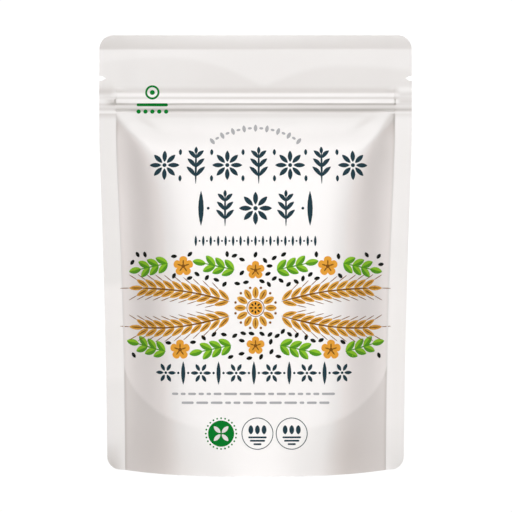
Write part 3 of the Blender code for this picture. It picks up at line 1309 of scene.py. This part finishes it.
def drawDashes(low, high, z, height, gap, chance):
    # Bars with round ends and chance lengths from low to high
    x = low
    while x < high - height:
        length = min(chance.uniform(2.4, 8.6), high - x)
        if length >= height:
            drawBar(x + length / 2, z, length, height)
        x += length + gap


def pressDashRows():
    openInk("dash_rows")
    chance = random.Random(4)
    for z, reach in dashRows["rows"]:
        drawDashes(-reach, reach, z, dashRows["dash"], dashRows["gap"], chance)
    pressInk("paleGreyInk")


def drawStar(x, z, size):
    drawPetals(x, z, 4, 0.27 * size, 0.44 * size, 0.2 * size, turn=45, point=0.6)


def pressBadges():
    z = badges["height"]
    openInk("green_badge")
    drawPatch(badges["green"], z, badges["disc"], badges["disc"], corners=48)
    drawPetals(badges["green"], z, *badges["beads"])
    pressInk("greenInk")
    openInk("badge_star")
    drawStar(badges["green"], z, badges["star"])
    pressInk("whiteInk", layer=1)
    openInk("ring_badges")
    for x in badges["rings"]:
        drawRing(x, z, *badges["ring"])
        for i in (-1, 0, 1):
            drop = (x + i * badges["dropPitch"], z + badges["dropRise"])
            drawLozenge(*drop, *badges["drop"], 0.25)
        for down, length in badges["bars"]:
            drawBar(x, z - down, length, badges["barHeight"])
    pressInk("tealInk")


def pressMark():
    openInk("small_mark")
    x, z = smallMark["place"]
    drawRing(x, z + smallMark["ringRise"], *smallMark["ring"])
    drawDot(x, z + smallMark["ringRise"], smallMark["dot"])
    drawBar(x, z - smallMark["barDrop"], *smallMark["bar"])
    for i in (-2, -1, 0, 1, 2):
        drawDot(x + i * smallMark["lowPitch"], z - smallMark["lowDrop"], smallMark["lowDot"])
    pressInk("greenInk", step=smallMark["step"])


pressDashRows()
pressBadges()
pressMark()
print("badges pressed")


# The back: an ornament row, a framed panel of dashes, a row of dashes and a green badge

backPrint = {
    "row": (205, 15, 18, 0),  # (height, size, pitch, x of the middle)
    "reach": 66,
    "foot": 76,
    "top": 188,
    "head": 18,
    "column": 4,  # between the two columns of dashes
    "line": 0.8,
    "thinLine": 0.35,
    "lozenge": (9, 3),
    "lozengePitch": 20,
    "rows": 17,
    "rowPitch": 5.1,
    "dash": 1.3,
    "lowRow": (-40, 40, 64, 1.4, 1.5),  # (left, right, height, dash, gap)
    "badge": (0, 36),
    "badgeWidth": 15,
    "star": 12,
}
onBack = {"facing": 1, "seed": 7.7}


def pressBackRows():
    # The ornament row and the panel's frame, with lozenges in its head
    reach, foot, line = backPrint["reach"], backPrint["foot"], backPrint["line"]
    top, head = backPrint["top"], backPrint["head"]
    openInk("back_rows")
    drawFirstRow(*backPrint["row"])
    for z in (foot, top, top - head):
        drawBar(0, z, 2 * reach + line, line)
    for x in (-reach, backPrint["column"], reach):
        drawPatch(x, (foot + top - head) / 2, line, line, 90, straight=top - foot - head)
    for x in (-reach, reach):
        drawPatch(x, top - head / 2, line, line, 90, straight=head)
    for i in range(-3, 3):
        x = (i + 0.5) * backPrint["lozengePitch"]
        drawLozenge(x, top - head / 2, *backPrint["lozenge"], 0.7)
    pressInk("tealInk", **onBack)


def pressBackDashes():
    openInk("back_dashes")
    chance = random.Random(9)
    dash, pitch = backPrint["dash"], backPrint["rowPitch"]
    left = 4 - backPrint["reach"]
    for i in range(backPrint["rows"]):
        z = backPrint["top"] - 24 - i * pitch
        right = -10 if i % 6 == 5 else -1
        drawDashes(left, right, z, dash, dash, chance)
        if i % 2 == 0:
            drawBar(17, z, 18, dash)
            drawBar(55, z, 6 + 4 * (i % 3), dash)
            if i < backPrint["rows"] - 1:
                drawBar(35, z - pitch, 54, backPrint["thinLine"])
    drawDashes(*backPrint["lowRow"], chance)
    pressInk("greyInk", **onBack)


def pressBackBadge():
    openInk("back_badge")
    width = backPrint["badgeWidth"]
    drawPatch(*backPrint["badge"], width, width, corners=40)
    pressInk("greenInk", **onBack)
    openInk("back_star")
    drawStar(*backPrint["badge"], backPrint["star"])
    pressInk("whiteInk", layer=1, **onBack)


pressBackRows()
pressBackDashes()
pressBackBadge()
print("back pressed")
